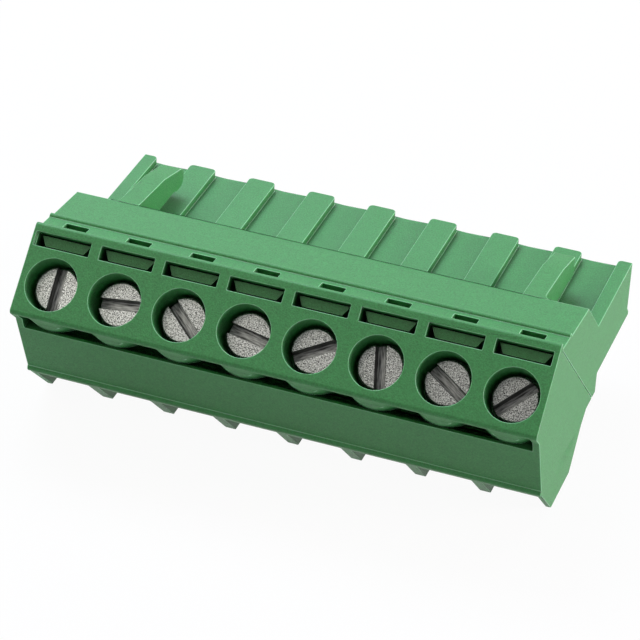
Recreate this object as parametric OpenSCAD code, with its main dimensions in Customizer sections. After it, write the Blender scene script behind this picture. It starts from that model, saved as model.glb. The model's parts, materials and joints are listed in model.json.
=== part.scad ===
// Pluggable terminal block: a row of screw clamps, tilted 45 degrees, on a plug for a pin header.
// Millimetres. X runs along the row, +Y is the way the plug goes in, +Z is up.
// The origin is at mid-length, on the line of the header's pins, in the plane of the mating rim.

/* [Row] */
// Number of positions
positions = 8; // [2:1:16]
// Distance from one position to the next
pitch = 5.08; // [5:0.01:6.35]
// Thickness of the wall between two wire entries
partition_t = 0.86; // [0.7:0.01:1.1]

/* [Clamp block] */
// Tilt of the screw face from the plug's top
clamp_angle = 45; // [42:0.5:48]
// Distance along Y from the middle of the screw holes to the mating rim
reach = 23.85; // [23:0.05:26]
// Height of the middle of the screw holes above the pin line
rise = 4.9; // [4.6:0.05:5.3]
// From the middle of the screw holes down to the lower edge of the screw face
face_down = 2.75; // [2.7:0.05:2.9]
// From the middle of the screw holes to the joint between the two housings
seam_up = 4; // [3.95:0.05:4.1]
// Thickness of the screw face at its lower edge
face_t = 1.58; // [1.3:0.02:1.8]
// From the screw axis down to the mouth of the wire entries
mouth_down = 5.47; // [5.2:0.01:5.8]
// Depth of the front panel's lower edge, along the screw axis
mouth_top = 7.4; // [7.2:0.05:7.6]
// Depth of the whole clamp block, along the screw axis
block_depth = 15.45; // [15.3:0.05:16]
// Height by which the block's lower corner is cut off to stand on
foot_cut = 2.373; // [2.2:0.001:2.6]
// Distance along Y from the middle of the screw holes to the heel's rear face
heel_back = 15.45; // [15.2:0.05:15.7]
// Height of the heel behind the wire entries, below the pin line
heel_down = 3.97; // [3.8:0.01:4.1]
// Radius of the screw face's rounded lower edge
face_round = 0.34; // [0.1:0.02:0.36]
// Thickness of the face plate in front of the groove
plate_t = 0.4; // [0.4:0.02:0.6]
// Height of the lip that stands up along the screw face's upper edge
lip_h = 0.45; // [0.35:0.01:0.5]
// Thickness of that lip at its foot, along the screw axis
lip_t = 0.78; // [0.7:0.02:0.85]
// Radius of the lip's rounded edge
lip_round = 0.3; // [0.15:0.01:0.32]

/* [Screws] */
// Diameter of the screw holes in the face
screw_hole_d = 4.04; // [3.9:0.02:4.2]
// Diameter of the screw head
head_d = 3.5; // [3.3:0.02:3.6]
// Height of the screw head
head_h = 1.7; // [1.5:0.05:1.8]
// Depth of the screw head's top below the face
head_sunk = 1.5; // [1.4:0.05:1.6]
// Diameter of the screw thread
thread_d = 3; // [2.5:0.1:3]
// Width of the driver slot
slot_w = 0.8; // [0.6:0.05:1]
// Depth of the driver slot
slot_depth = 0.9; // [0.6:0.05:1]
// Running clearance around the thread, on the radius
thread_gap = 0.06; // [0.03:0.01:0.09]
// Thickness of the shoulder under the screw head
shoulder_t = 0.8; // [0.7:0.05:0.9]

/* [Clamp cages] */
// Width of the cage across the row
cage_w = 3.8; // [3.6:0.05:3.85]
// Length of the cage along the wire
cage_l = 3.4; // [3.2:0.05:3.5]
// Thickness of the cage's upper plate
cage_top_t = 1.3; // [1.1:0.05:1.4]
// Thickness of the cage's lower plate
cage_base_t = 1; // [0.8:0.05:1.1]
// Thickness of the cage's two sides
cage_side_t = 0.5; // [0.4:0.05:0.55]
// Height of the open space for the wire
wire_space = 2.9; // [2.7:0.05:3]
// Clearance around the cage in its pocket
cage_gap = 0.25; // [0.2:0.01:0.3]
// Distance that the cage rises, from open to shut
cage_travel = 2.5; // [2:0.1:2.5]

/* [Contacts] */
// Depth of the contact bar's clamping face, along the screw axis
bar_depth = 8.5; // [8.4:0.05:8.7]
// Thickness of the contact bar
bar_t = 0.8; // [0.6:0.05:0.9]
// Width of the contact across the row
contact_w = 2.4; // [2:0.1:2.6]
// Thickness of each spring tine
tine_t = 0.45; // [0.35:0.05:0.5]
// Opening between the tines where they grip the pin
grip_gap = 0.8; // [0.6:0.05:0.95]
// Side of the square header pin
pin_side = 1; // [0.8:0.05:1]

/* [Plug] */
// Height of the plug above the pin line, without its ribs
plug_up = 2.15; // [2.05:0.05:2.3]
// Height of the plug below the pin line
plug_down = 2.25; // [2.1:0.05:2.3]
// Height of the ribs on top of the plug
rib_h = 0.6; // [0.3:0.05:0.8]
// Width of each rib
rib_w = 2.19; // [1.6:0.01:2.6]
// Radius of the ribs' rounded rear corners
rib_round = 0.35; // [0.1:0.05:0.6]
// Distance that the lower edge stands out past the rim
toe_out = 0.48; // [0.2:0.02:0.7]
// Height of the lower edge that stands out, at the rim
toe_h = 0.85; // [0.5:0.05:1]
// Height of that edge at its tip
toe_t = 0.3; // [0.2:0.05:0.4]
// Width of each contact chamber
chamber_w = 3.5; // [3:0.1:3.8]
// Height of each contact chamber
chamber_h = 3.1; // [2.8:0.05:3.2]
// Thickness of the mating face in front of the contacts
mate_face_t = 0.8; // [0.6:0.05:1]
// Width and height of each pin window, before its lead-in
pin_window = 1.7; // [1.5:0.05:2]
// Extra width of the lead-in at the rim, on each side
lead_in = 0.4; // [0.2:0.05:0.6]

/* [Top of the block] */
// Distance from the screw holes' middle to the start of the top flat, along Y
flat_start = 5.8; // [5.6:0.05:6.2]
// Distance from the screw holes' middle to the rear edge of the top flat, along Y
flat_end = 10.43; // [9.8:0.01:11]
// Height of the top flat's rear edge above the screw holes' middle
flat_rear_up = 1.66; // [1.5:0.02:1.9]
// Slope of the top flat, falling to the rear
flat_slope = 5.7; // [4:0.1:7]
// Height of the step from the top flat up to the front ledge
ledge_step = 0.1; // [0.05:0.01:0.2]
// Radius of the long bead between ledge and flat
bead_r = 0.24; // [0.2:0.01:0.4]
// Height of the bead's middle above the top flat
bead_up = 0.08; // [0.04:0.01:0.16]

/* [Face and ledge windows] */
// Width of each window above a screw
window_w = 4.25; // [3.8:0.05:4.35]
// Height of each window above a screw
window_h = 1.07; // [0.9:0.01:1.12]
// From the middle of the screw hole to the window's lower edge
window_up = 2.64; // [2.6:0.01:2.7]
// Depth of the windows above the screws
window_depth = 2; // [1.5:0.05:2.3]
// Depth of the tapered tongue in each window, below the screw face
tongue_depth = 0.6; // [0.4:0.05:0.8]
// Width of that tongue at its upper edge
tongue_top_w = 4; // [3.6:0.05:4.15]
// Width of that tongue at its lower edge
tongue_low_w = 3.1; // [2.8:0.05:3.5]
// Depth of the shallow recess between the first window and its end of the row
end_recess = 0.14; // [0.05:0.01:0.25]
// Width of each small window in the ledge
notch_w = 1.86; // [1.4:0.02:2.4]
// Length of each small window, along Y
notch_l = 0.72; // [0.5:0.02:0.84]
// Distance from the screw holes' middle to the small windows, along Y
notch_start = 4.2; // [4.1:0.01:4.4]
// Depth of the small windows
notch_depth = 1.1; // [0.8:0.05:1.4]

/* [Latches] */
// Width of each latch arm
latch_w = 1.65; // [1.4:0.05:2.1]
// Thickness of each latch arm at its root
latch_t = 2.75; // [2.4:0.05:2.9]
// Distance from the mating rim to the latch's tip
latch_back = 4.3; // [3.5:0.1:6]
// Length of the steeper end of each latch arm
latch_tip_l = 3.9; // [3:0.1:5]
// Length of the catch under the latch's tip
catch_l = 1.8; // [1.2:0.1:2.4]
// Distance that the catch hangs below the latch arm
catch_h = 0.25; // [0.1:0.05:0.4]
// Radius of the fillet at the latch's root
latch_fillet = 0.7; // [0.4:0.05:0.9]

/* [Front panel] */
// Height of the groove under the screw face
groove_h = 1.05; // [0.8:0.05:1.4]
// Depth of the groove under the screw face
groove_depth = 1.1; // [0.8:0.05:1.5]
// Distance that the groove stops short of each end
groove_end = 0.55; // [0.5:0.01:0.9]
// Radius of the bead along the panel's lower edge
lower_bead_r = 0.33; // [0.3:0.01:0.45]
// Distance that this bead stands out of the panel
lower_bead_out = 0.2; // [0.05:0.01:0.25]
// Thickness of the front panel at the wire entries
panel_t = 0.75; // [0.6:0.05:0.85]
// Radius of the screw tunnels' outer wall
tunnel_r = 2.94; // [2.9:0.01:3]

/* [End walls] */
// From the middle of the screw holes down to the middle of the hollow's upper edge
scoop_down = 1.15; // [1:0.05:1.3]
// Depth along the screw axis to the middle of the hollow's upper edge
scoop_at = 11.6; // [11.4:0.05:11.8]
// Length of the hollow, along its upper edge
scoop_l = 7.1; // [6:0.1:7.4]
// Height of the hollow, from its upper edge to its round lower edge
scoop_h = 1.65; // [1.2:0.05:1.8]
// Depth of the hollow at its upper edge
scoop_depth = 0.2; // [0.1:0.01:0.25]
// Slope of the upper edge, falling to the rear
scoop_slope = 5.3; // [3:0.1:8]

/* [Fits] */
// Gap between the two housings
seam_gap = 0.06; // [0.04:0.01:0.1]
// Gap around the contacts in the housings
contact_gap = 0.12; // [0.08:0.01:0.16]

/* [Hidden] */
$fn = 64;
eps = 0.01;
sa = sin(clamp_angle);
ca = cos(clamp_angle);
row_l = positions * pitch;
hole_r = screw_hole_d / 2;
bore_r = thread_d / 2 + thread_gap;
// Turn of each screw's slot in the face, as left by the driver.
slot_turns = [91, 7, -41, -10, 30, -77, -32, 46];

// The upper edge of the screw face, and the strips that the plug stands on.
face_up = seam_up + lip_h;
foot_down = (mouth_down + block_depth) * sa - rise - foot_cut;
// The plug's underside, from the rim to the heel, and how far the chambers run past it.
under_l = reach - heel_back;
heel_chamber = 3;

// Depths along the screw axis, from the screw face inwards.
head_seat = head_sunk + head_h;
pocket_top = head_seat + shoulder_t;
bar_under = bar_depth + bar_t;
cage_inner_base = bar_under + wire_space;
cage_bottom = cage_inner_base + cage_base_t;
cage_stop = 0.2;
cage_top = pocket_top + cage_stop + cage_travel;
pocket_floor = cage_bottom + cage_gap;
pocket_half = cage_l / 2 + cage_gap;
bay_w = pitch - partition_t;

// Where the top flat ends: the rear face below it runs parallel to the screws.
flat_end_y = flat_end - reach;
flat_end_z = rise + flat_rear_up;
function flat_z(y) = flat_end_z + (flat_end_y - y) * tan(flat_slope);
rib_top = plug_up + rib_h;

// The contact bends from the clamp's tilt to the pin line here.
bend_depth = bar_depth + bar_t / 2;
bend_up = (bend_depth * ca - rise) / sa;
chamber_back = under_l + heel_chamber;

// Row centre of position i, counted from 1 at the -X end.
function row_x(i) = (i - (positions + 1) / 2) * pitch;

// A point of the clamp's own frame, up the screw face and into the block, as [y, z].
function in_block(up, depth) = [up * ca + depth * sa - reach, rise + up * sa - depth * ca];
// The point at height z on a line along the screw axis, or on one along the screw face.
function at_up(up, z) = in_block(up, (rise + up * sa - z) / ca);
function at_depth(depth, z) = in_block((z - rise + depth * ca) / sa, depth);

// Places children drawn with +Y up the screw face and +Z out of it.
module in_clamp(x = 0) translate([x, -reach, rise]) rotate([clamp_angle, 0, 0]) children();

// Extrudes a [y, z] outline along X.
module along_x(w) rotate([90, 0, 90]) linear_extrude(w, center = true) children();

// Points of an arc from angle a1 to a2 about a centre, for outlines.
function arc(centre, r, a1, a2, steps = 6) = [
    for (k = [0:steps])
        let (a = a1 + (a2 - a1) * k / steps) centre + r * [cos(a), sin(a)]
];
// The same arc in the clamp block: its centre and points are [up, depth].
function block_arc(centre, r, a1, a2) = [for (p = arc(centre, r, a1, a2)) in_block(p[0], p[1])];

// Cuts children off at both ends of the row.
module cut_to_row() intersection() {
    union() children();
    cube([row_l, 4 * reach, 4 * reach], center = true);
}

// A box in the clamp's frame, from depth d1 to d2 and from up1 to up2.
module clamp_box(w, up1, up2, d1, d2)
    translate([-w / 2, up1, -d2]) cube([w, up2 - up1, d2 - d1]);

// ---- Plug housing ----

module plug_outline() {
    seam = seam_up + seam_gap;
    // The ledge starts behind the lip of the screw face.
    ledge_front = in_block(seam_up, lip_t)[0] + seam_gap;
    ledge_y = flat_start - bead_r - reach;
    polygon([
        in_block(seam, (ledge_front + reach) / sa - seam),
        [ledge_front, flat_z(ledge_front) + ledge_step],
        [ledge_y, flat_z(ledge_y) + ledge_step],
        [ledge_y, flat_z(ledge_y)],
        [flat_end_y, flat_end_z],
        [flat_end_y + (flat_end_z - plug_up) * tan(clamp_angle), plug_up],
        [0, plug_up],
        [0, toe_h - plug_down],
        [toe_out, toe_t - plug_down],
        [toe_out, -plug_down],
        [-under_l, -plug_down],
        [-under_l, -heel_down],
        at_up(seam, -heel_down)
    ]);
}

// One rib along the plug's top, with its corners at the rim rounded.
module rib(x, w) {
    translate([x, 0, plug_up - eps]) linear_extrude(rib_h + eps) {
        translate([-w / 2, flat_end_y]) square([w, -flat_end_y - rib_round]);
        translate([rib_round - w / 2, flat_end_y]) square([w - 2 * rib_round, -flat_end_y]);
        for (s = [-1, 1]) translate([s * (w / 2 - rib_round), -rib_round]) circle(rib_round);
    }
}

module ribs() for (i = [0:positions]) rib(row_x(i) + pitch / 2, rib_w);

// A latch arm that carries on from the top flat and hangs over the plug.
module latch_profile() {
    tip_slope = 12;
    tip = -latch_back;
    knee = tip - latch_tip_l;
    low = flat_end_z - latch_t;
    tip_top = flat_z(knee) - latch_tip_l * tan(tip_slope);
    tip_r = 0.45 * (tip_top - low + catch_h);
    top_arc = [tip - tip_r, tip_top - tip_r];
    catch_arc = [tip - tip_r, low - catch_h + tip_r];
    polygon(concat(
        [[flat_end_y - latch_t, low + latch_t / 2], [flat_end_y - eps, flat_end_z], [knee, flat_z(knee)]],
        arc(top_arc, tip_r, 90 - tip_slope, 0),
        arc(catch_arc, tip_r, 0, -90),
        [[tip - catch_l + catch_h, low - catch_h], [tip - catch_l, low], [flat_end_y, low]]
    ));
}

module latch_plan() {
    length = -latch_back - flat_end_y;
    corner = latch_w / 3;
    difference() {
        union() {
            translate([0, -2]) square([latch_w, length + 2 - corner]);
            translate([0, length - corner - eps]) square([latch_w - corner, corner + eps]);
            translate([latch_w - corner, length - corner]) circle(corner);
            translate([0, -2]) square([latch_w + latch_fillet, 2 + latch_fillet]);
        }
        translate([latch_w + latch_fillet, latch_fillet]) circle(latch_fillet);
    }
}

module latch(side) {
    inner = row_l / 2 - pitch;
    mirror([side < 0 ? 1 : 0, 0, 0]) intersection() {
        translate([inner, flat_end_y, 0]) linear_extrude(flat_end_z + 2) latch_plan();
        translate([inner + latch_w, 0, 0]) along_x(4 * latch_w) latch_profile();
    }
}

// Chamber for a contact, open to the rim through a window with a lead-in.
module contact_chamber(x) translate([x, 0, 0]) {
    translate([-chamber_w / 2, -chamber_back, -chamber_h / 2])
        cube([chamber_w, chamber_back - mate_face_t, chamber_h]);
    translate([-pin_window / 2, -1, -pin_window / 2]) cube([pin_window, 2, pin_window]);
    intersection() {
        along_x(4) lead_in_outline();
        rotate([0, 90, 0]) along_x(4) lead_in_outline();
    }
}

module lead_in_outline() {
    half = pin_window / 2;
    polygon([
        [-lead_in, -half],
        [eps, -half - lead_in - eps],
        [eps, half + lead_in + eps],
        [-lead_in, half]
    ]);
}

// Slot that lets the contact's neck through both housings.
module neck_slot(x) {
    neck_half = bar_t / 2 + contact_gap;
    start = in_block(0, bend_depth)[0];
    translate([x - contact_w / 2 - contact_gap, start, -neck_half])
        cube([contact_w + 2 * contact_gap, -chamber_back + 1 - start, 2 * neck_half]);
}

module top_bead() {
    bead_y = flat_start - bead_r - reach;
    translate([0, bead_y, flat_z(bead_y) + bead_up])
        rotate([0, 90, 0]) cylinder(r = bead_r, h = row_l + pitch, center = true);
}

module notch(x) {
    top = flat_z(notch_start - reach) + ledge_step;
    translate([x - notch_w / 2, notch_start - reach, top - notch_depth])
        cube([notch_w, notch_l, notch_depth + 1]);
}

module plug_housing() color([0.38, 0.68, 0.49]) difference() {
    cut_to_row() {
        along_x(row_l + pitch) plug_outline();
        top_bead();
        ribs();
        for (side = [-1, 1]) latch(side);
    }
    for (i = [1:positions]) {
        contact_chamber(row_x(i));
        neck_slot(row_x(i));
        notch(row_x(i));
    }
}

// ---- Clamp housing ----

panel_top = in_block(-face_down, face_t);
panel_foot = in_block(-mouth_down, mouth_top);

module clamp_outline() {
    // The rear face bends in slightly, at this distance up the block.
    waist_up = 1.6;
    waist_in = 0.25;
    polygon(concat(
        block_arc([face_round - face_down, face_round], face_round, 180, 270),
        block_arc([face_up - lip_round, lip_round], lip_round, 270, 360),
        [in_block(seam_up, lip_t), at_up(seam_up, -heel_down)],
        [at_depth(block_depth, -heel_down), in_block(waist_up, block_depth - waist_in)],
        [at_depth(block_depth, -foot_down), at_up(-mouth_down, -foot_down), panel_foot, panel_top]
    ));
}

// The space of one position: cage pocket, wire entry and the mouth between two partitions.
module bay_outline() {
    past = 6;
    flare = 0.9;
    wire_top = bar_under - 0.2;
    polygon([
        in_block(-pocket_half, pocket_top),
        in_block(pocket_half, pocket_top),
        in_block(pocket_half, pocket_floor),
        in_block(-pocket_half, pocket_floor),
        in_block(-pocket_half - flare, block_depth + 1),
        in_block(-mouth_down - past, block_depth + 1),
        in_block(-mouth_down - past, mouth_top + panel_t),
        in_block(-mouth_down, mouth_top + panel_t),
        in_block(-pocket_half, wire_top)
    ]);
}

// Places children on the front panel: +Y into it, +Z up along it, from its upper edge.
module on_panel() {
    slope = atan2(panel_foot[0] - panel_top[0], panel_top[1] - panel_foot[1]);
    translate([0, panel_top[0], panel_top[1]]) rotate([slope, 0, 0]) children();
}

// The long groove under the screw face. It runs up behind the face plate, where the round
// walls of the screw tunnels bulge into it.
module groove() {
    front = 3;
    difference() {
        on_panel() translate([groove_end - row_l / 2, -front, -groove_h])
            cube([row_l - 2 * groove_end, front + groove_depth, groove_h + face_t]);
        in_clamp() clamp_box(row_l + 2, -face_down, face_up, -1, plate_t);
        for (i = [1:positions]) in_clamp(row_x(i))
            translate([0, 0, -block_depth]) cylinder(r = tunnel_r, h = block_depth - plate_t);
    }
}

module lower_bead() {
    panel_l = norm(panel_foot - panel_top);
    on_panel() translate([0, lower_bead_r - lower_bead_out, lower_bead_r - panel_l])
        rotate([0, 90, 0]) cylinder(r = lower_bead_r, h = row_l + pitch, center = true);
}

// Hole for one screw: wide for the head, then a close bore through the shoulder.
module screw_hole(x) in_clamp(x) {
    translate([0, 0, -head_seat]) cylinder(r = hole_r, h = head_seat + 1);
    translate([0, 0, -pocket_top - 1]) cylinder(r = bore_r, h = pocket_top);
}

// Window above a screw, with a tapered tongue standing in it, clear of the window's edges.
module face_window(x) in_clamp(x) {
    slit = 0.1;
    low_gap = 0.17;
    tongue_low = window_up + low_gap;
    tongue_top = window_up + window_h - slit;
    difference() {
        clamp_box(window_w, window_up, window_up + window_h, -1, window_depth);
        translate([0, 0, -window_depth - 1]) linear_extrude(window_depth + 1 - tongue_depth)
            polygon([
                [-tongue_low_w / 2, tongue_low],
                [tongue_low_w / 2, tongue_low],
                [tongue_top_w / 2, tongue_top],
                [-tongue_top_w / 2, tongue_top]
            ]);
    }
}

module first_window_recess() {
    from_end = 0.25;
    w = (pitch - window_w) / 2 - from_end + eps;
    in_clamp(from_end + w / 2 - row_l / 2)
        clamp_box(w, window_up, window_up + window_h, -1, end_recess);
}

// Shallow leaf-shaped hollow in an end wall, beside the wire entry: the lower part of a
// dish, deepest along its straight upper edge.
module end_scoop(side) {
    mid = in_block(-scoop_down, scoop_at);
    rim_r = (pow(scoop_l / 2, 2) + pow(scoop_h, 2)) / (2 * scoop_h);
    rim_up = rim_r - scoop_h;
    dish_r = (pow(rim_r, 2) - pow(rim_up, 2) + pow(scoop_depth, 2)) / (2 * scoop_depth);
    translate([side * row_l / 2, mid[0], mid[1]]) rotate([-scoop_slope, 0, 0]) intersection() {
        translate([side * sqrt(pow(dish_r, 2) - pow(rim_r, 2)), 0, rim_up])
            sphere(dish_r, $fn = 180);
        translate([-pitch, -scoop_l, -2 * scoop_h]) cube([2 * pitch, 2 * scoop_l, 2 * scoop_h]);
    }
}

module clamp_housing() color([0.29, 0.56, 0.36]) difference() {
    cut_to_row() {
        difference() {
            along_x(row_l + pitch) clamp_outline();
            groove();
        }
        lower_bead();
    }
    for (i = [1:positions]) {
        translate([row_x(i), 0, 0]) along_x(bay_w) bay_outline();
        screw_hole(row_x(i));
        face_window(row_x(i));
        neck_slot(row_x(i));
    }
    first_window_recess();
    for (side = [-1, 1]) end_scoop(side);
}

// ---- Screws, cages and contacts ----

// Screw with its head up along +Z, its head's top at the origin.
module screw_body() {
    bar_gap = 0.1;
    seat_gap = 0.05;
    edge = 0.12;
    point = 0.4;
    length = bar_depth - head_sunk - bar_gap;
    r = thread_d / 2;
    rotate_extrude() polygon([
        [0, 0],
        [head_d / 2 - edge, 0],
        [head_d / 2, -edge],
        [head_d / 2, seat_gap - head_h],
        [r, seat_gap - head_h],
        [r, point - length],
        [r - point, -length],
        [0, -length]
    ]);
}

module screw(i) color([0.62, 0.62, 0.62]) in_clamp(row_x(i)) translate([0, 0, -head_sunk])
    difference() {
        screw_body();
        rotate([0, 0, slot_turns[(i - 1) % len(slot_turns)]])
            translate([-head_d, -slot_w / 2, -slot_depth]) cube([2 * head_d, slot_w, slot_depth + 1]);
    }

// Rectangle with rounded corners, from circles and squares.
module rounded_rect(w, h, r) {
    square([w - 2 * r, h], center = true);
    square([w, h - 2 * r], center = true);
    for (sx = [-1, 1], sy = [-1, 1]) translate([sx * (w / 2 - r), sy * (h / 2 - r)]) circle(r);
}

// Cage that the screw draws up: a square tube along the wire, with grooves that grip.
module clamp_cage(i) color([0.75, 0.72, 0.6]) in_clamp(row_x(i)) difference() {
    corner = 0.4;
    grip_pitch = 0.9;
    grip_w = 0.3;
    mid = (cage_top + cage_bottom) / 2;
    inner_top = cage_top + cage_top_t;
    translate([0, cage_l / 2, -mid]) rotate([90, 0, 0])
        linear_extrude(cage_l) rounded_rect(cage_w, cage_bottom - cage_top, corner);
    clamp_box(cage_w - 2 * cage_side_t, -cage_l, cage_l, inner_top, cage_inner_base);
    translate([0, 0, -cage_inner_base]) cylinder(r = bore_r, h = cage_inner_base);
    for (k = [-1:1]) translate([0, k * grip_pitch, -cage_inner_base]) rotate([45, 0, 0])
        cube([cage_w - 2 * cage_side_t, grip_w, grip_w], center = true);
}

// Strip that runs from under the screw to a pair of spring tines for the pin.
module contact_outline() {
    half = bar_t / 2;
    turn = half * tan(clamp_angle / 2);
    bar_end = 1.5;
    front_top = in_block(-bar_end, bar_depth);
    front_low = in_block(-bar_end, bar_under);
    bend = in_block(bend_up, bend_depth);
    // The box that the tines spring from, and their grip and flared tips.
    rim_gap = 0.35;
    wall_gap = 0.3;
    grip_back = 1.5;
    grip_l = 0.6;
    pin_gap = 0.15;
    box_l = 2;
    box_end = 2 * tine_t;
    root = -chamber_back + 1.2;
    tip = -mate_face_t - rim_gap;
    grip = tip - grip_back;
    grip_half = grip_gap / 2;
    wide = chamber_h / 2 - wall_gap;
    flare = pin_side / 2 + pin_gap;
    neck = root - bar_t;
    upper = [
        [neck, half], [root, wide], [root + box_l, wide], [grip, grip_half + tine_t],
        [tip, flare + tine_t], [tip, flare], [grip + grip_l / 2, grip_half], [grip - grip_l / 2, grip_half],
        [root + box_l, wide - tine_t], [root + box_end, wide - tine_t]
    ];
    lower = [for (k = [len(upper) - 1:-1:0]) [upper[k][0], -upper[k][1]]];
    polygon(concat(
        [front_low, front_top, [bend[0] - turn, half]], upper, lower, [[bend[0] + turn, -half]]
    ));
}

module contact(i) color([0.8, 0.78, 0.7])
    translate([row_x(i), 0, 0]) along_x(contact_w) contact_outline();

plug_housing();
clamp_housing();
for (i = [1:positions]) {
    screw(i);
    clamp_cage(i);
    contact(i);
}
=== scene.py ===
"""Looks of the pluggable terminal block, laid out as a Blender add-on and run as a script."""

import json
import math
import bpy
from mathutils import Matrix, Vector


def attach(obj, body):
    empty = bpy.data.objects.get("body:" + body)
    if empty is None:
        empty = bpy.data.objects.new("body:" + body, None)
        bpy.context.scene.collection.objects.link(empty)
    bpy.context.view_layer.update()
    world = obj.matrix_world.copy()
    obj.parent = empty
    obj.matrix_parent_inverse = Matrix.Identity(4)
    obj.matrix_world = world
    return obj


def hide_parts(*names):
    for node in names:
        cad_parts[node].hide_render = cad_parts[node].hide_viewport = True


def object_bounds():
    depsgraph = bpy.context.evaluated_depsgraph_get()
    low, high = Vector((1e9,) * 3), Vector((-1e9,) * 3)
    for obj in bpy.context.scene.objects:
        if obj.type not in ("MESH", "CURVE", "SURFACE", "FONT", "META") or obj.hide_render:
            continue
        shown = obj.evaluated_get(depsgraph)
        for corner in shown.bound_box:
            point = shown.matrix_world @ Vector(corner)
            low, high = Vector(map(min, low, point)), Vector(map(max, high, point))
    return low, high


bl_info = {
    "name": "Pluggable terminal block looks",
    "version": (1, 0, 0),
    "blender": (4, 5, 0),
    "location": "View3D > Sidebar > Terminal block",
    "description": "Finishes the housings, screws, cages and contacts of the terminal block",
    "category": "Object",
}

import bpy
from mathutils import Matrix, Vector

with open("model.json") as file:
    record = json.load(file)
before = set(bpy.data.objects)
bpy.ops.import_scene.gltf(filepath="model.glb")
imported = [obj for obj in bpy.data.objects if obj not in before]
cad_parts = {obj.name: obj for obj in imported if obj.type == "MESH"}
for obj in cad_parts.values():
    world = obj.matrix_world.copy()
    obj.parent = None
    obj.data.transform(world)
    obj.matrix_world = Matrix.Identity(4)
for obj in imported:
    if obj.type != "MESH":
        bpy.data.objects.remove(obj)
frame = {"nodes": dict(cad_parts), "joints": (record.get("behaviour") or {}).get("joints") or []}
CAD_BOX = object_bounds()

MM = 0.001
# Points nearer than this are one point, and faces flatter than this angle are one face.
SAME_POINT = 0.5e-6
FLAT_ANGLE = math.radians(0.4)
# Edges sharper than the first angle are rounded. Edges sharper than the second are shaded sharp.
ROUND_ANGLE = math.radians(30)
SMOOTH_ANGLE = math.radians(35)
ROUND_STEPS = 2
# Half the width of the driver slot, the depths below the head's top between which its faces lie,
# and how far a wall's normal may lean along the screw.
SLOT_HALF = 0.00042
SLOT_LIP = 0.00006
SLOT_DEEP = 0.001
WALL_LEAN = 0.1
# Half the length over which the screws turn darker towards the right.
DARKENING_REACH = 0.018
FLOOR_SIZE = 3
WORLD_LEVEL = 0.04
SENSOR_WIDTH = 36
HOUSING_BODY = "housing"
SCREW_JOINTS = [j for j in frame["joints"] if j["type"] == "hinge"]
FACE_POINT = Vector(SCREW_JOINTS[0]["pos_m"])
INTO_BLOCK = Vector(SCREW_JOINTS[0]["axis"]).normalized()
UP_FACE = Vector((0, -INTO_BLOCK.z, INTO_BLOCK.y))
POSITIONS = range(1, len(SCREW_JOINTS) + 1)


# ---- Settings ----


class HousingSettings(bpy.types.PropertyGroup):
    colour: bpy.props.FloatVectorProperty(
        name="Plastic colour", description="Green of both housings", subtype="COLOR",
        size=3, min=0, max=1, default=(0.050, 0.285, 0.076))
    # Painted highlight: this lighter green is laid on the rounded edges where light would catch
    # them.
    edge_highlight_colour: bpy.props.FloatVectorProperty(
        name="Edge colour", description="Lighter green of the painted edge highlights", subtype="COLOR",
        size=3, min=0, max=1, default=(0.42, 0.85, 0.50))
    edge_round: bpy.props.FloatProperty(
        name="Edge round", description="Radius on the moulded edges", subtype="DISTANCE",
        unit="LENGTH", default=0.00005)
    glow_depth: bpy.props.FloatProperty(
        name="Glow depth", description="How far light travels inside the plastic",
        subtype="DISTANCE", unit="LENGTH", default=0.00032)
    grain: bpy.props.FloatProperty(
        name="Grain", description="Width of the mould's fine grain", subtype="DISTANCE",
        unit="LENGTH", default=0.00012)


class MetalSettings(bpy.types.PropertyGroup):
    screw_colour: bpy.props.FloatVectorProperty(
        name="Screw colour", description="Dull zinc of the screws", subtype="COLOR",
        size=3, min=0, max=1, default=(0.42, 0.42, 0.41))
    cage_colour: bpy.props.FloatVectorProperty(
        name="Cage colour", description="Plating of the clamp cages", subtype="COLOR",
        size=3, min=0, max=1, default=(0.62, 0.60, 0.55))
    contact_colour: bpy.props.FloatVectorProperty(
        name="Contact colour", description="Tin plating of the contacts", subtype="COLOR",
        size=3, min=0, max=1, default=(0.70, 0.69, 0.65))
    speckle: bpy.props.FloatProperty(
        name="Speckle", description="Width of the light and dark specks on the screws",
        subtype="DISTANCE", unit="LENGTH", default=0.00009)
    edge_round: bpy.props.FloatProperty(
        name="Edge round", description="Radius on the metal edges", subtype="DISTANCE",
        unit="LENGTH", default=0.00004)


class StageSettings(bpy.types.PropertyGroup):
    azimuth: bpy.props.FloatProperty(
        name="Azimuth", description="Turn of the view to the right of the screw side",
        subtype="ANGLE", unit="ROTATION", default=math.radians(18.665))
    elevation: bpy.props.FloatProperty(
        name="Elevation", description="Height of the view above level",
        subtype="ANGLE", unit="ROTATION", default=math.radians(33.305))
    roll: bpy.props.FloatProperty(
        name="Roll", description="Turn of the camera about its own view",
        subtype="ANGLE", unit="ROTATION", default=math.radians(2.768))
    distance: bpy.props.FloatProperty(
        name="Distance", description="Camera to the point that it looks at",
        subtype="DISTANCE", unit="LENGTH", default=0.21634)
    lens: bpy.props.FloatProperty(
        name="Lens", description="Focal length in millimetres on a 36 mm sensor", default=168.9)
    aim: bpy.props.FloatVectorProperty(
        name="Aim", description="Point that the camera looks at, from the middle of the screw row",
        subtype="TRANSLATION", unit="LENGTH", size=3, default=(0.00265, 0.00176, 0.00125))
    floor_colour: bpy.props.FloatVectorProperty(
        name="Floor colour", description="Tone of the floor in the light that it gives back",
        subtype="COLOR", size=3, min=0, max=1, default=(0.68, 0.68, 0.68))


# ---- Small helpers ----


def select_none():
    """Leaves nothing selected."""
    if bpy.context.mode != "OBJECT":
        bpy.ops.object.mode_set(mode="OBJECT")
    bpy.ops.object.select_all(action="DESELECT")


def select_only(piece):
    """Leaves only this object selected and active."""
    select_none()
    piece.select_set(True)
    bpy.context.view_layer.objects.active = piece


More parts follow.
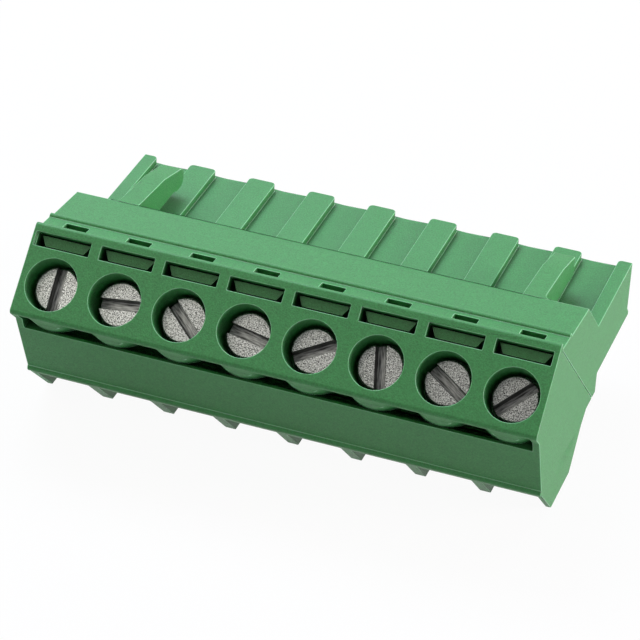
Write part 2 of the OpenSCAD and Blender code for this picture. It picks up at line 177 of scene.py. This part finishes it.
def copy_node(node, name):
    """A welded copy of a CAD node's mesh, for a piece that stands in its place."""
    source = frame["nodes"][node]
    piece = bpy.data.objects.new(name, source.data.copy())
    bpy.context.scene.collection.objects.link(piece)
    piece.data.materials.clear()
    select_only(piece)
    bpy.ops.object.mode_set(mode="EDIT")
    bpy.ops.mesh.select_all(action="SELECT")
    bpy.ops.mesh.remove_doubles(threshold=SAME_POINT)
    bpy.ops.mesh.dissolve_limited(angle_limit=FLAT_ANGLE)
    bpy.ops.object.mode_set(mode="OBJECT")
    return piece


def mark_faces(piece, name, marks):
    """Writes one value per face, 1 where it is marked, as an attribute that materials read."""
    layer = piece.data.attributes.new(name, "FLOAT", "CORNER")
    for face, mark in zip(piece.data.polygons, marks):
        for corner in face.loop_indices:
            layer.data[corner].value = float(mark)


def apply_modifiers(piece):
    """Makes each modifier's result part of the mesh, in order."""
    select_only(piece)
    for modifier in list(piece.modifiers):
        bpy.ops.object.modifier_apply(modifier=modifier.name)


def round_edges(piece, width):
    """Rounds the sharp edges of a piece, marks them and shades it smooth by angle."""
    for _ in range(2):
        piece.data.materials.append(None)
    bevel = piece.modifiers.new("rounded edges", "BEVEL")
    bevel.material = 1
    bevel.width = width
    bevel.segments = ROUND_STEPS
    bevel.limit_method = "ANGLE"
    bevel.angle_limit = ROUND_ANGLE
    bevel.use_clamp_overlap = False
    bevel.miter_outer = "MITER_ARC"
    apply_modifiers(piece)
    rounded = [face.material_index == 1 for face in piece.data.polygons]
    mark_faces(piece, "edge", rounded)
    select_only(piece)
    bpy.ops.object.shade_smooth_by_angle(angle=SMOOTH_ANGLE)
    weigh = piece.modifiers.new("flat faces stay flat", "WEIGHTED_NORMAL")
    weigh.keep_sharp = True
    apply_modifiers(piece)


def finish_piece(piece, body, material, slot, *nodes):
    """Gives a piece its material, ties it to its body and hides the nodes it replaces. The slot is
    not used.
    """
    for face in piece.data.polygons:
        face.material_index = 0
    piece.data.materials.clear()
    piece.data.materials.append(material)
    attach(piece, body)
    if nodes:
        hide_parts(*nodes)


# ---- Shader node groups ----


def group_socket(group, name, kind, in_out, default=None):
    """Adds an input or an output to a shader node group."""
    socket = group.interface.new_socket(name=name, in_out=in_out, socket_type=kind)
    if default is not None:
        socket.default_value = default


def node(tree, kind, place, **values):
    """Adds a node at its place in the tree, with these settings."""
    made = tree.nodes.new(kind)
    made.location = place
    for key, value in values.items():
        setattr(made, key, value)
    return made


def map_range(tree, place, found, wanted=(0, 1)):
    """Turns values that run over one range into values that run over another."""
    made = node(tree, "ShaderNodeMapRange", place)
    made.inputs["From Min"].default_value, made.inputs["From Max"].default_value = found
    made.inputs["To Min"].default_value, made.inputs["To Max"].default_value = wanted
    return made


def noise(tree, place, scale=None, detail=2.0, roughness=0.5):
    """Noise that is this many times finer than a metre, or whose scale is linked later."""
    made = node(tree, "ShaderNodeTexNoise", place)
    if scale is not None:
        made.inputs["Scale"].default_value = scale
    made.inputs["Detail"].default_value = detail
    made.inputs["Roughness"].default_value = roughness
    return made


def seen_as_white(tree, place):
    """One for rays from the camera, a glossy surface or clear material, and zero for the rest."""
    x, y = place
    path = node(tree, "ShaderNodeLightPath", (x, y))
    gloss = node(tree, "ShaderNodeMath", (x + 200, y), operation="MAXIMUM")
    clear = node(tree, "ShaderNodeMath", (x + 350, y), operation="MAXIMUM")
    tree.links.new(path.outputs["Is Camera Ray"], gloss.inputs[0])
    tree.links.new(path.outputs["Is Glossy Ray"], gloss.inputs[1])
    tree.links.new(gloss.outputs["Value"], clear.inputs[0])
    tree.links.new(path.outputs["Is Transmission Ray"], clear.inputs[1])
    return clear.outputs["Value"]


def edge_light_group():
    """Masks of the painted highlights on the open outer edges and of the painted shade in creases
    and hollows.
    """
    group = bpy.data.node_groups.new("edges and creases", "ShaderNodeTree")
    group_socket(group, "Reach", "NodeSocketFloat", "INPUT", 0.0009)
    group_socket(group, "Edge", "NodeSocketFloat", "OUTPUT")
    group_socket(group, "Painted shade factor", "NodeSocketFloat", "OUTPUT")
    start = node(group, "NodeGroupInput", (-800, 0))
    end = node(group, "NodeGroupOutput", (600, 0))
    marked = node(group, "ShaderNodeAttribute", (-600, 150), attribute_name="edge")
    # Painted shade: ambient occlusion near other surfaces darkens the colour in creases and
    # hollows.
    near = node(group, "ShaderNodeAmbientOcclusion", (-600, -150), samples=3, only_local=True)
    # Painted highlight mask: only rounded edges out in the open get the lighter green.
    outer = map_range(group, (-350, 0), (0.5, 0.65), (0, 0.55))
    painted_crease_shade = map_range(group, (-350, -300), (0.22, 0.75), (0.12, 1))
    both = node(group, "ShaderNodeMath", (-100, 100), operation="MULTIPLY")
    link = group.links.new
    link(start.outputs["Reach"], near.inputs["Distance"])
    link(near.outputs["AO"], outer.inputs["Value"])
    link(near.outputs["AO"], painted_crease_shade.inputs["Value"])
    link(outer.outputs["Result"], both.inputs[0])
    link(marked.outputs["Fac"], both.inputs[1])
    link(both.outputs["Value"], end.inputs["Edge"])
    link(painted_crease_shade.outputs["Result"], end.inputs["Painted shade factor"])
    return group


def grain_group():
    """Fine grain of a blasted or spark-eroded surface: a height and a light-and-dark factor."""
    group = bpy.data.node_groups.new("surface grain", "ShaderNodeTree")
    group_socket(group, "Width", "NodeSocketFloat", "INPUT", 0.0001)
    group_socket(group, "Contrast", "NodeSocketFloat", "INPUT", 0.2)
    group_socket(group, "Height", "NodeSocketFloat", "OUTPUT")
    group_socket(group, "Tone", "NodeSocketFloat", "OUTPUT")
    start = node(group, "NodeGroupInput", (-900, 0))
    end = node(group, "NodeGroupOutput", (700, 0))
    place = node(group, "ShaderNodeTexCoord", (-900, -200))
    per_metre = node(group, "ShaderNodeMath", (-700, 0), operation="DIVIDE")
    per_metre.inputs[0].default_value = 1.0
    fine = noise(group, (-450, 150), detail=3.0, roughness=0.65)
    coarse_scale = node(group, "ShaderNodeMath", (-600, -350), operation="MULTIPLY")
    coarse_scale.inputs[1].default_value = 0.16
    coarse = noise(group, (-450, -250))
    mix = node(group, "ShaderNodeMix", (-200, 0), data_type="FLOAT")
    mix.inputs["Factor"].default_value = 0.1
    centre = node(group, "ShaderNodeMath", (0, -100), operation="SUBTRACT")
    centre.inputs[1].default_value = 0.5
    spread = node(group, "ShaderNodeMath", (200, -100), operation="MULTIPLY_ADD")
    spread.inputs[2].default_value = 1.0
    link = group.links.new
    link(start.outputs["Width"], per_metre.inputs[1])
    link(per_metre.outputs["Value"], fine.inputs["Scale"])
    link(per_metre.outputs["Value"], coarse_scale.inputs[0])
    link(coarse_scale.outputs["Value"], coarse.inputs["Scale"])
    link(place.outputs["Object"], fine.inputs["Vector"])
    link(place.outputs["Object"], coarse.inputs["Vector"])
    link(fine.outputs["Fac"], mix.inputs["A"])
    link(coarse.outputs["Fac"], mix.inputs["B"])
    link(mix.outputs["Result"], centre.inputs[0])
    link(centre.outputs["Value"], spread.inputs[0])
    link(start.outputs["Contrast"], spread.inputs[1])
    link(fine.outputs["Fac"], end.inputs["Height"])
    link(spread.outputs["Value"], end.inputs["Tone"])
    return group


def use_group(tree, name, maker, place, **values):
    """Puts a shader node group in a material, making the group the first time."""
    group = bpy.data.node_groups.get(name) or maker()
    made = node(tree, "ShaderNodeGroup", place, node_tree=group)
    for key, value in values.items():
        made.inputs[key].default_value = value
    return made


# ---- Materials ----


def new_material(name):
    """A new material with its node tree and its shader."""
    material = bpy.data.materials.new(name)
    material.use_nodes = True
    tree = material.node_tree
    return material, tree, tree.nodes["Principled BSDF"]


def toned_colour(tree, colour, tone, place):
    """The base colour made lighter and darker by a tone around one."""
    scale = node(tree, "ShaderNodeVectorMath", place, operation="SCALE")
    scale.inputs[0].default_value = colour
    tree.links.new(tone, scale.inputs["Scale"])
    return scale.outputs["Vector"]


def bump(tree, shader, height, distance, place):
    """Raises the shader's surface by a height pattern."""
    made = node(tree, "ShaderNodeBump", place)
    made.inputs["Distance"].default_value = distance
    tree.links.new(height, made.inputs["Height"])
    tree.links.new(made.outputs["Normal"], shader.inputs["Normal"])


def housing_plastic(settings):
    """Matt green polyamide with a fine mould grain, painted highlights on its edges, painted shade
    in its creases and a little light through it.
    """
    material, tree, shader = new_material("housing_plastic")
    shader.inputs["Roughness"].default_value = 0.5
    shader.inputs["Specular IOR Level"].default_value = 0.45
    shader.inputs["Subsurface Weight"].default_value = 0.35
    shader.inputs["Subsurface Radius"].default_value = (0.2, 1.0, 0.35)
    shader.inputs["Subsurface Scale"].default_value = settings.glow_depth
    grain = use_group(tree, "surface grain", grain_group, (-900, 0),
                      Width=settings.grain, Contrast=1.5)
    edge = use_group(tree, "edges and creases", edge_light_group, (-900, -300))
    # Painted shade: the grain's tone is multiplied by the painted shade factor, down to 0.12 in
    # deep creases.
    tone = node(tree, "ShaderNodeMath", (-700, 0), operation="MULTIPLY")
    tree.links.new(grain.outputs["Tone"], tone.inputs[0])
    tree.links.new(edge.outputs["Painted shade factor"], tone.inputs[1])
    base = toned_colour(tree, settings.colour, tone.outputs["Value"], (-550, 100))
    # Painted highlight: the rounded edges, away from creases, are mixed toward the lighter edge
    # green.
    painted_edge_highlight = node(tree, "ShaderNodeMix", (-350, 100), data_type="RGBA")
    painted_edge_highlight.inputs["B"].default_value = (*settings.edge_highlight_colour, 1)
    tree.links.new(edge.outputs["Edge"], painted_edge_highlight.inputs["Factor"])
    tree.links.new(base, painted_edge_highlight.inputs["A"])
    tree.links.new(painted_edge_highlight.outputs["Result"], shader.inputs["Base Color"])
    bump(tree, shader, grain.outputs["Height"], settings.grain * 0.25, (-400, -300))
    return material


def plated_metal(name, colour, roughness, grain_width, contrast, relief):
    """Plated steel or tin with a fine grain."""
    material, tree, shader = new_material(name)
    shader.inputs["Metallic"].default_value = 1.0
    grain = use_group(tree, "surface grain", grain_group, (-900, 0),
                      Width=grain_width, Contrast=contrast)
    base = toned_colour(tree, colour, grain.outputs["Tone"], (-650, 100))
    tree.links.new(base, shader.inputs["Base Color"])
    shader.inputs["Roughness"].default_value = roughness
    bump(tree, shader, grain.outputs["Height"], relief, (-400, -300))
    return material


def grainy_zinc(settings):
    """Dull zinc with light and dark specks, darker towards the right, and a slot with lines along
    it and painted shade in it.
    """
    material, tree, shader = new_material("screw_steel")
    shader.inputs["Metallic"].default_value = 1.0
    shader.inputs["Roughness"].default_value = 0.42
    place = node(tree, "ShaderNodeTexCoord", (-1400, 0))
    speckle = noise(tree, (-1150, 150), 1 / settings.speckle, detail=3.0, roughness=0.7)
    head_tone = map_range(tree, (-900, 150), (0.38, 0.62), (0.05, 1.5))
    along = node(tree, "ShaderNodeMapping", (-1150, -200))
    along.inputs["Scale"].default_value = (0.12, 1.0, 1.0)
    drawn = noise(tree, (-950, -200), 9.0, detail=3.0)
    # Painted shade in the driver slot: its tone runs darker than the head's, with real drawn lines
    # along the slot.
    slot_lines_and_shade = map_range(tree, (-700, -200), (0.3, 0.7), (0.12, 0.85))
    inside = node(tree, "ShaderNodeAttribute", (-900, -450), attribute_name="slot")
    tone = node(tree, "ShaderNodeMix", (-450, 0), data_type="FLOAT")
    link = tree.links.new
    link(place.outputs["Object"], speckle.inputs["Vector"])
    link(place.outputs["UV"], along.inputs["Vector"])
    link(along.outputs["Vector"], drawn.inputs["Vector"])
    link(speckle.outputs["Fac"], head_tone.inputs["Value"])
    link(drawn.outputs["Fac"], slot_lines_and_shade.inputs["Value"])
    link(inside.outputs["Fac"], tone.inputs["Factor"])
    link(head_tone.outputs["Result"], tone.inputs["A"])
    link(slot_lines_and_shade.outputs["Result"], tone.inputs["B"])
    # Darker towards the right: the speckle tone, kept under the name plating, falls from 1 to 0.55
    # along the row of screws.
    apart = node(tree, "ShaderNodeSeparateXYZ", (-900, 450))
    darker_right = map_range(tree, (-700, 450), (-DARKENING_REACH, DARKENING_REACH), (1, 0.55))
    plating = node(tree, "ShaderNodeMath", (-350, 250), operation="MULTIPLY")
    link(place.outputs["Object"], apart.inputs["Vector"])
    link(apart.outputs["X"], darker_right.inputs["Value"])
    link(darker_right.outputs["Result"], plating.inputs[0])
    link(tone.outputs["Result"], plating.inputs[1])
    base = toned_colour(tree, settings.screw_colour, plating.outputs["Value"], (-250, 0))
    link(base, shader.inputs["Base Color"])
    bump(tree, shader, speckle.outputs["Fac"], settings.speckle * 0.2, (-250, -300))
    return material


def floor_material(colour):
    """Plain floor that reads white to the camera and keeps the object's shadow."""
    material, tree, shader = new_material("floor")
    shader.inputs["Roughness"].default_value = 0.9
    seen = seen_as_white(tree, (-600, 300))
    share = node(tree, "ShaderNodeMath", (-100, 300), operation="MULTIPLY")
    share.inputs[1].default_value = 0.95
    tint = node(tree, "ShaderNodeMix", (-100, -100), data_type="RGBA")
    tint.inputs["A"].default_value = (*colour, 1)
    tint.inputs["B"].default_value = (0.95, 0.95, 0.95, 1)
    glow = node(tree, "ShaderNodeEmission", (0, 150))
    mix = node(tree, "ShaderNodeMixShader", (300, 100))
    out = tree.nodes["Material Output"]
    link = tree.links.new
    link(seen, share.inputs[0])
    link(share.outputs["Value"], mix.inputs["Fac"])
    link(seen, tint.inputs["Factor"])
    link(tint.outputs["Result"], shader.inputs["Base Color"])
    link(shader.outputs["BSDF"], mix.inputs[1])
    link(glow.outputs["Emission"], mix.inputs[2])
    link(mix.outputs["Shader"], out.inputs["Surface"])
    return material


# ---- Pieces ----


def from_axis(point, axis_point):
    """Depth of a point along the screw's axis, and its offset from that axis."""
    offset = point - axis_point
    depth = offset.dot(INTO_BLOCK)
    return depth, offset - depth * INTO_BLOCK


def slot_direction(piece, axis_point):
    """Direction across the driver slot, from the slot's own two walls."""
    best, across = 0, UP_FACE
    for face in piece.data.polygons:
        offset = from_axis(face.center, axis_point)[1]
        is_wall = abs(face.normal.dot(INTO_BLOCK)) < WALL_LEAN
        if is_wall and abs(offset.dot(face.normal)) < SLOT_HALF and face.area > best:
            best, across = face.area, face.normal.copy()
    return across


def map_slot(piece, axis_point, across):
    """A map in millimetres, along the slot and over its walls and floor, and the slot's mark."""
    along = INTO_BLOCK.cross(across)
    mesh = piece.data
    uv = mesh.uv_layers.new(name="slot map")
    top = min(from_axis(vertex.co, axis_point)[0] for vertex in mesh.vertices)
    marks = []
    for face in mesh.polygons:
        depth, offset = from_axis(face.center, axis_point)
        below = depth - top
        marks.append(abs(offset.dot(across)) < SLOT_HALF and SLOT_LIP < below < SLOT_DEEP)
        for corner in face.loop_indices:
            spot = mesh.vertices[mesh.loops[corner].vertex_index].co
            depth, offset = from_axis(spot, axis_point)
            uv.data[corner].uv = (offset.dot(along) / MM, (offset.dot(across) + depth) / MM)
    mark_faces(piece, "slot", marks)


class TERMINAL_OT_housings(bpy.types.Operator):
    """Makes the two green housings, with rounded edges"""

    bl_idname = "terminal.housings"
    bl_label = "Housings"

    def execute(self, context):
        settings = context.scene.terminal_housing
        plastic = housing_plastic(settings)
        for node_name in ("plug_housing", "clamp_housing"):
            piece = copy_node(node_name, node_name + "_moulding")
            round_edges(piece, settings.edge_round)
            finish_piece(piece, HOUSING_BODY, plastic, "housing_plastic", node_name)
        return {"FINISHED"}


class TERMINAL_OT_screws(bpy.types.Operator):
    """Makes the slotted screws"""

    bl_idname = "terminal.screws"
    bl_label = "Screws"

    def execute(self, context):
        settings = context.scene.terminal_metal
        zinc = grainy_zinc(settings)
        for i in POSITIONS:
            name = f"screw_{i}"
            piece = copy_node(name, name + "_zinc")
            axis_point = Vector(SCREW_JOINTS[i - 1]["pos_m"])
            across = slot_direction(piece, axis_point)
            round_edges(piece, settings.edge_round)
            map_slot(piece, axis_point, across)
            finish_piece(piece, name, zinc, "screw_steel", name)
        return {"FINISHED"}


class TERMINAL_OT_clamps(bpy.types.Operator):
    """Makes the clamp cages and the contacts"""

    bl_idname = "terminal.clamps"
    bl_label = "Clamp cages and contacts"

    def execute(self, context):
        settings = context.scene.terminal_metal
        cage = plated_metal("cage_steel", settings.cage_colour, roughness=0.38,
                            grain_width=0.0001, contrast=0.4, relief=0.000006)
        tin = plated_metal("contact_metal", settings.contact_colour, roughness=0.32,
                           grain_width=0.0001, contrast=0.3, relief=0.000004)
        for i in POSITIONS:
            name = f"clamp_cage_{i}"
            piece = copy_node(name, name + "_plated")
            round_edges(piece, settings.edge_round)
            finish_piece(piece, f"cage_{i}", cage, "cage_steel", name)
            name = f"contact_{i}"
            piece = copy_node(name, name + "_tinned")
            round_edges(piece, settings.edge_round)
            finish_piece(piece, HOUSING_BODY, tin, "contact_metal", name)
        return {"FINISHED"}


# ---- Stage ----


# Name, place from the object's middle in metres, size in metres, power in watts and colour.
LAMPS = (
    ("back left", (-0.17, 0.20, 0.34), 0.26, 1.16, (0.86, 1.0, 1.16)),
    ("back right", (0.14, 0.20, 0.36), 0.20, 0.27, (0.86, 1.0, 1.16)),
    ("left", (-0.30, 0.0, 0.30), 0.20, 0.30, (1.0, 1.0, 0.95)),
    ("front left", (-0.18, -0.22, 0.32), 0.16, 0.21, (1.0, 1.0, 0.85)),
    ("right", (0.42, 0.07, 0.11), 0.16, 1.28, (1.25, 0.97, 1.12)),
)


def soft_lamp(name, place, aim, size, power, colour):
    """Puts a round area lamp at a place, facing its aim."""
    data = bpy.data.lights.new(name, "AREA")
    data.shape = "DISK"
    data.size = size
    data.energy = power
    data.color = colour
    lamp = bpy.data.objects.new(name, data)
    bpy.context.scene.collection.objects.link(lamp)
    lamp.location = place
    lamp.rotation_euler = (aim - place).to_track_quat("-Z", "Y").to_euler()


def plain_world(strength):
    """Soft even light that camera and gloss see as white."""
    world = bpy.data.worlds.new("studio")
    bpy.context.scene.world = world
    world.use_nodes = True
    tree = world.node_tree
    tree.nodes.clear()
    seen = seen_as_white(tree, (-800, 0))
    level = map_range(tree, (-250, 0), (0, 1), (strength, 1))
    sky = node(tree, "ShaderNodeBackground", (0, 0))
    sky.inputs["Color"].default_value = (1, 1, 1, 1)
    out = node(tree, "ShaderNodeOutputWorld", (200, 0))
    tree.links.new(seen, level.inputs["Value"])
    tree.links.new(level.outputs["Result"], sky.inputs["Strength"])
    tree.links.new(sky.outputs["Background"], out.inputs["Surface"])


class TERMINAL_OT_stage(bpy.types.Operator):
    """Sets the floor, the lamps and the camera"""

    bl_idname = "terminal.stage"
    bl_label = "Stage"

    def execute(self, context):
        settings = context.scene.terminal_stage
        low, high = CAD_BOX
        middle = (Vector(low) + Vector(high)) / 2
        select_none()
        bpy.ops.mesh.primitive_plane_add(size=FLOOR_SIZE, location=(middle.x, middle.y, low[2]))
        floor = context.active_object
        floor.name = "floor"
        bpy.ops.object.transform_apply(location=True, rotation=False, scale=False)
        floor.data.materials.append(floor_material(settings.floor_colour))

        plain_world(WORLD_LEVEL)
        for name, offset, size, power, colour in LAMPS:
            soft_lamp(name, middle + Vector(offset), middle, size, power, colour)

        screw_row = Vector((0, FACE_POINT.y, FACE_POINT.z))
        aim = screw_row + Vector(settings.aim)
        place_camera(context, aim, settings)
        context.scene.view_settings.view_transform = "Standard"
        return {"FINISHED"}


def place_camera(context, aim, settings):
    """Puts the camera on its sight line, then rolls it about that line."""
    azimuth, elevation, roll = settings.azimuth, settings.elevation, settings.roll
    back = Vector((math.sin(azimuth) * math.cos(elevation),
                   -math.cos(azimuth) * math.cos(elevation),
                   math.sin(elevation)))
    right = Vector((math.cos(azimuth), math.sin(azimuth), 0))
    up = back.cross(right)
    turned_right = math.cos(roll) * right + math.sin(roll) * up
    turned_up = math.cos(roll) * up - math.sin(roll) * right
    data = bpy.data.cameras.new("view")
    data.sensor_width = SENSOR_WIDTH
    data.lens = settings.lens
    data.clip_start = 0.005
    camera = bpy.data.objects.new("view", data)
    context.scene.collection.objects.link(camera)
    turn = Matrix((turned_right, turned_up, back)).transposed().to_4x4()
    camera.matrix_world = Matrix.Translation(aim + settings.distance * back) @ turn
    context.scene.camera = camera


# ---- Panel and registration ----


STEPS = ("housings", "screws", "clamps", "stage")


class TERMINAL_PT_panel(bpy.types.Panel):
    bl_label = "Terminal block"
    bl_idname = "TERMINAL_PT_panel"
    bl_space_type = "VIEW_3D"
    bl_region_type = "UI"
    bl_category = "Terminal block"

    def draw(self, context):
        for step in STEPS:
            self.layout.operator("terminal." + step)
        scene = context.scene
        for settings in (scene.terminal_housing, scene.terminal_metal, scene.terminal_stage):
            box = self.layout.box()
            for name in settings.bl_rna.properties.keys():
                if name not in ("rna_type", "name"):
                    box.prop(settings, name)


CLASSES = (
    HousingSettings,
    MetalSettings,
    StageSettings,
    TERMINAL_OT_housings,
    TERMINAL_OT_screws,
    TERMINAL_OT_clamps,
    TERMINAL_OT_stage,
    TERMINAL_PT_panel,
)


def register():
    """Registers the classes and gives the scene their settings."""
    for kind in CLASSES:
        bpy.utils.register_class(kind)
    scene = bpy.types.Scene
    scene.terminal_housing = bpy.props.PointerProperty(type=HousingSettings)
    scene.terminal_metal = bpy.props.PointerProperty(type=MetalSettings)
    scene.terminal_stage = bpy.props.PointerProperty(type=StageSettings)


def unregister():
    """Takes the settings and the classes away again."""
    scene = bpy.types.Scene
    del scene.terminal_stage
    del scene.terminal_metal
    del scene.terminal_housing
    for kind in reversed(CLASSES):
        bpy.utils.unregister_class(kind)


def main():
    """Makes everything in order."""
    register()
    for step in STEPS:
        getattr(bpy.ops.terminal, step)()


if __name__ == "__main__":
    main()
